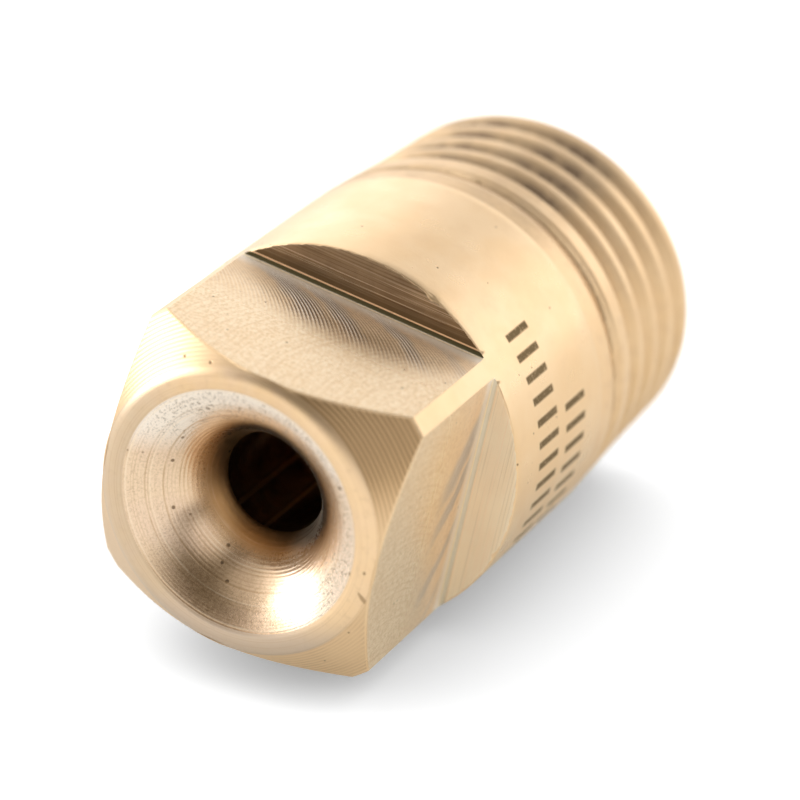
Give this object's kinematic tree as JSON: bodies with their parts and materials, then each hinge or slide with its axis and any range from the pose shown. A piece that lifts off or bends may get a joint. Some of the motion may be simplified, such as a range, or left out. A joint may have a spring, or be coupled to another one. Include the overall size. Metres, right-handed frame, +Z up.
{
  "type": "full-cone spray nozzle",
  "caption": "Brass spray nozzle with a bell-mouth outlet, wrench flats milled behind a coned nose, a male taper pipe thread and a swirl vane inside.",
  "frame": {"origin": "on the nozzle's axis, half way between the front of the rim and the inlet end", "axes": "the axis is Y: the spray leaves towards -Y and the pipe thread is at +Y. +Z is up with the nozzle lying on its side, +X is to the right seen from the spray end"},
  "size_m": [0.014, 0.0222, 0.014],
  "materials": {
    "turned_brass": "turned and milled, pale dull gold",
    "vane_brass": "machined, darker than the body"
  },
  "bodies": {
    "body": {"nozzle_body": "turned_brass"},
    "vane": {"swirl_vane": "vane_brass"}
  },
  "joints": [
    {"name": "vane_removal", "type": "slide", "parent": "body", "child": "vane", "axis": [0, 1, 0], "range_m": [0, 0.02]}
  ]
}
